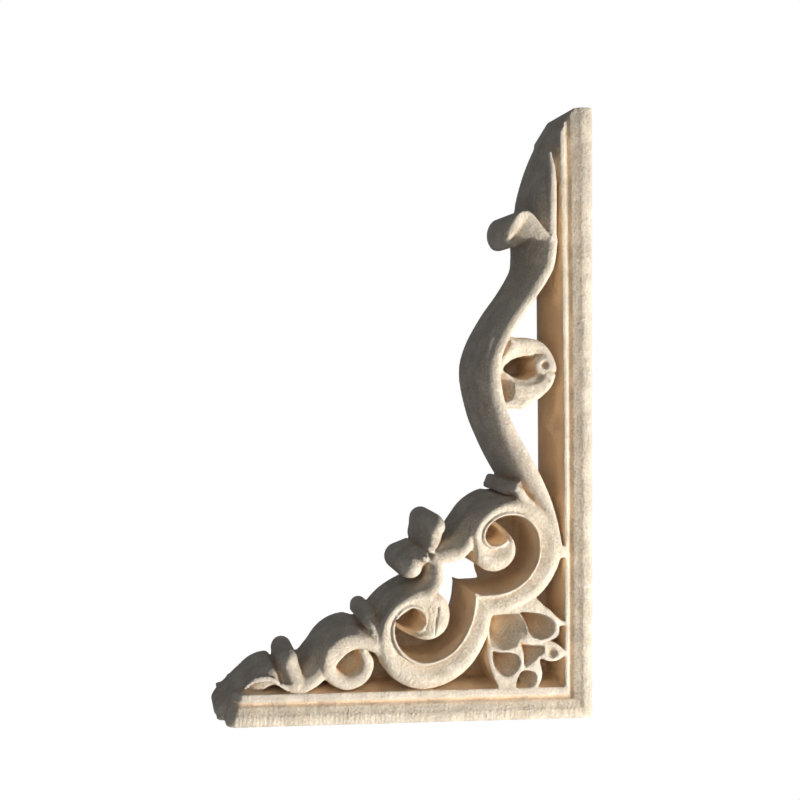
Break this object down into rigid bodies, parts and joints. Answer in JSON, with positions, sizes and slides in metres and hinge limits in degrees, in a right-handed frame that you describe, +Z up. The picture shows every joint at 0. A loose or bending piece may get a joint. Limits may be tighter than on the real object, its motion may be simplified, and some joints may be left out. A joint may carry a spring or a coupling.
{
  "type": "wooden corner onlay",
  "caption": "Carved openwork corner onlay in bare wood: an L-shaped moulding filled with an S scroll, two C scrolls and leaves, flat at the back.",
  "frame": {"origin": "on the flat rear face, on the mitre of the two moulded bars, 7 mm in from both outer edges", "axes": "+Z up along the longer bar, +X to the right as the front is seen, so the shorter bar runs to -X, and the carved front faces -Y"},
  "size_m": [0.1574, 0.0349, 0.255],
  "materials": {
    "bare_wood": "bare, unpainted and unvarnished pale wood, matt, as it leaves the carver"
  },
  "bodies": {
    "root": {"carved_corner_onlay": "bare_wood"}
  },
  "joints": []
}
